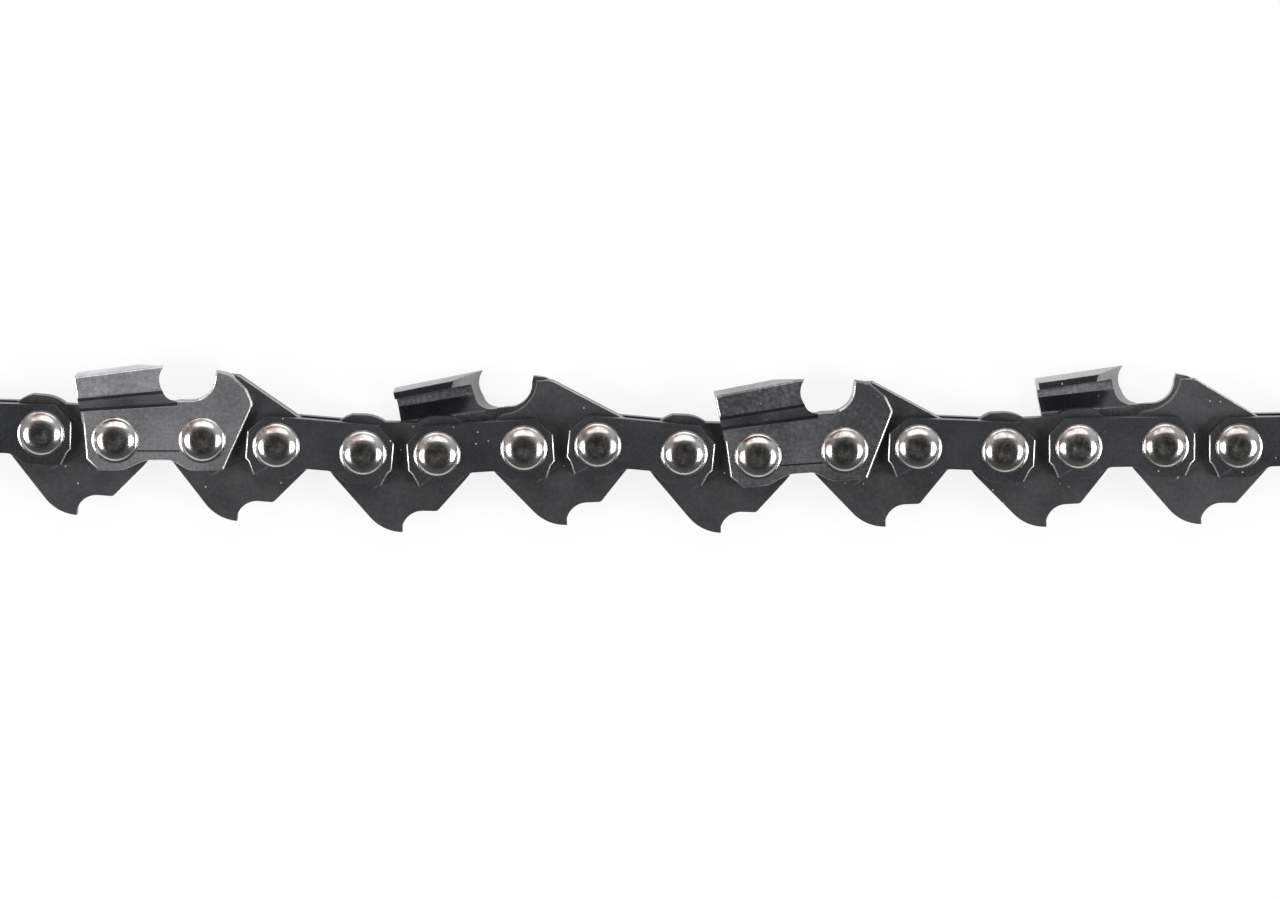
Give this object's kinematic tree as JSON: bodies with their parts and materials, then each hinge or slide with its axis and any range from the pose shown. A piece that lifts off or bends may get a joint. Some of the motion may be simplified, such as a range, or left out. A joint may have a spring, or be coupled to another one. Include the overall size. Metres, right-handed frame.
{
  "type": "saw chain",
  "caption": "Stretch of low-kickback saw chain: drive links with pointed tangs, tie straps, chipper cutters on alternate sides and spun rivets, free to bend at every rivet.",
  "frame": {"origin": "the middle of the fifth station, midway between its two rivets, in the chain's middle plane; it is also the middle of the whole stretch", "axes": "+X is the way the chain runs, +Y points out from the tangs to the cutters, +Z runs along the rivets toward the chain's right-hand side; the chain lies on its left side"},
  "size_m": [0.1471, 0.0176, 0.0072],
  "materials": {
    "link_steel": "blued, semi-gloss, with bright worn edges",
    "strap_steel": "blued, semi-gloss, with bright sheared ends",
    "cutter_steel": "plated, satin, with filed faces in the gullet",
    "rivet_steel": "spun and polished head"
  },
  "bodies": {
    "station_0": {"right_tie_strap_0": "strap_steel", "left_tie_strap_0": "strap_steel", "rivet_01": "rivet_steel"},
    "station_1": {"right_cutter_1": "cutter_steel", "left_tie_strap_1": "strap_steel", "rivet_02": "rivet_steel", "rivet_03": "rivet_steel"},
    "station_2": {"right_tie_strap_2": "strap_steel", "left_tie_strap_2": "strap_steel", "rivet_04": "rivet_steel", "rivet_05": "rivet_steel"},
    "station_3": {"right_tie_strap_3": "strap_steel", "left_cutter_3": "cutter_steel", "rivet_06": "rivet_steel", "rivet_07": "rivet_steel"},
    "station_4": {"right_tie_strap_4": "strap_steel", "left_tie_strap_4": "strap_steel", "rivet_08": "rivet_steel", "rivet_09": "rivet_steel"},
    "station_5": {"right_cutter_5": "cutter_steel", "left_tie_strap_5": "strap_steel", "rivet_10": "rivet_steel", "rivet_11": "rivet_steel"},
    "station_6": {"right_tie_strap_6": "strap_steel", "left_tie_strap_6": "strap_steel", "rivet_12": "rivet_steel", "rivet_13": "rivet_steel"},
    "station_7": {"right_tie_strap_7": "strap_steel", "left_cutter_7": "cutter_steel", "rivet_14": "rivet_steel", "rivet_15": "rivet_steel"},
    "station_8": {"right_tie_strap_8": "strap_steel", "left_tie_strap_8": "strap_steel", "rivet_16": "rivet_steel"},
    "link_1": {"drive_link_1": "link_steel"},
    "link_2": {"bumper_drive_link_2": "link_steel"},
    "link_3": {"drive_link_3": "link_steel"},
    "link_4": {"bumper_drive_link_4": "link_steel"},
    "link_5": {"drive_link_5": "link_steel"},
    "link_6": {"bumper_drive_link_6": "link_steel"},
    "link_7": {"drive_link_7": "link_steel"},
    "link_8": {"bumper_drive_link_8": "link_steel"}
  },
  "joints": [
    {"name": "link_5_on_rivet_09", "type": "hinge", "parent": "station_4", "child": "link_5", "pos_m": [0.00444, -0.00042, 0], "axis": [0, 0, 1], "range_deg": [-33.6, 6.4]},
    {"name": "station_5_on_rivet_10", "type": "hinge", "parent": "link_5", "child": "station_5", "pos_m": [0.01202, -0.00066, 0], "axis": [0, 0, 1], "range_deg": [-35.7, 4.3]},
    {"name": "link_6_on_rivet_11", "type": "hinge", "parent": "station_5", "child": "link_6", "pos_m": [0.02093, -0.00005, 0], "axis": [0, 0, 1], "range_deg": [-28.1, 5.9]},
    {"name": "station_6_on_rivet_12", "type": "hinge", "parent": "link_6", "child": "station_6", "pos_m": [0.02851, 0.00021, 0], "axis": [0, 0, 1], "range_deg": [-25.7, 14.3]},
    {"name": "link_7_on_rivet_13", "type": "hinge", "parent": "station_6", "child": "link_7", "pos_m": [0.03743, -0.00015, 0], "axis": [0, 0, 1], "range_deg": [-35.3, 4.7]},
    {"name": "station_7_on_rivet_14", "type": "hinge", "parent": "link_7", "child": "station_7", "pos_m": [0.045, 0.00025, 0], "axis": [0, 0, 1], "range_deg": [-27.8, 12.2]},
    {"name": "link_8_on_rivet_15", "type": "hinge", "parent": "station_7", "child": "link_8", "pos_m": [0.05393, 0.00038, 0], "axis": [0, 0, 1], "range_deg": [-28.7, 5.3]},
    {"name": "station_8_on_rivet_16", "type": "hinge", "parent": "link_8", "child": "station_8", "pos_m": [0.06151, 0.00031, 0], "axis": [0, 0, 1], "range_deg": [-31.5, 8.5]},
    {"name": "link_4_on_rivet_08", "type": "hinge", "parent": "station_4", "child": "link_4", "pos_m": [-0.00444, 0.00042, 0], "axis": [0, 0, 1], "range_deg": [-17.9, 22.1]},
    {"name": "station_3_on_rivet_07", "type": "hinge", "parent": "link_4", "child": "station_3", "pos_m": [-0.01202, 0.00009, 0], "axis": [0, 0, 1], "range_deg": [-5.4, 28.6]},
    {"name": "link_3_on_rivet_06", "type": "hinge", "parent": "station_3", "child": "link_3", "pos_m": [-0.02092, -0.00052, 0], "axis": [0, 0, 1], "range_deg": [-5.2, 34.8]},
    {"name": "station_2_on_rivet_05", "type": "hinge", "parent": "link_3", "child": "station_2", "pos_m": [-0.02851, -0.0004, 0], "axis": [0, 0, 1], "range_deg": [-5.9, 34.1]},
    {"name": "link_2_on_rivet_04", "type": "hinge", "parent": "station_2", "child": "link_2", "pos_m": [-0.0374, 0.00038, 0], "axis": [0, 0, 1], "range_deg": [-10.2, 29.8]},
    {"name": "station_1_on_rivet_03", "type": "hinge", "parent": "link_2", "child": "station_1", "pos_m": [-0.04496, 0.00101, 0], "axis": [0, 0, 1], "range_deg": [-8.8, 25.2]},
    {"name": "link_1_on_rivet_02", "type": "hinge", "parent": "station_1", "child": "link_1", "pos_m": [-0.05388, 0.00101, 0], "axis": [0, 0, 1], "range_deg": [-5.3, 34.7]},
    {"name": "station_0_on_rivet_01", "type": "hinge", "parent": "link_1", "child": "station_0", "pos_m": [-0.06144, 0.00163, 0], "axis": [0, 0, 1], "range_deg": [-13, 27]}
  ]
}
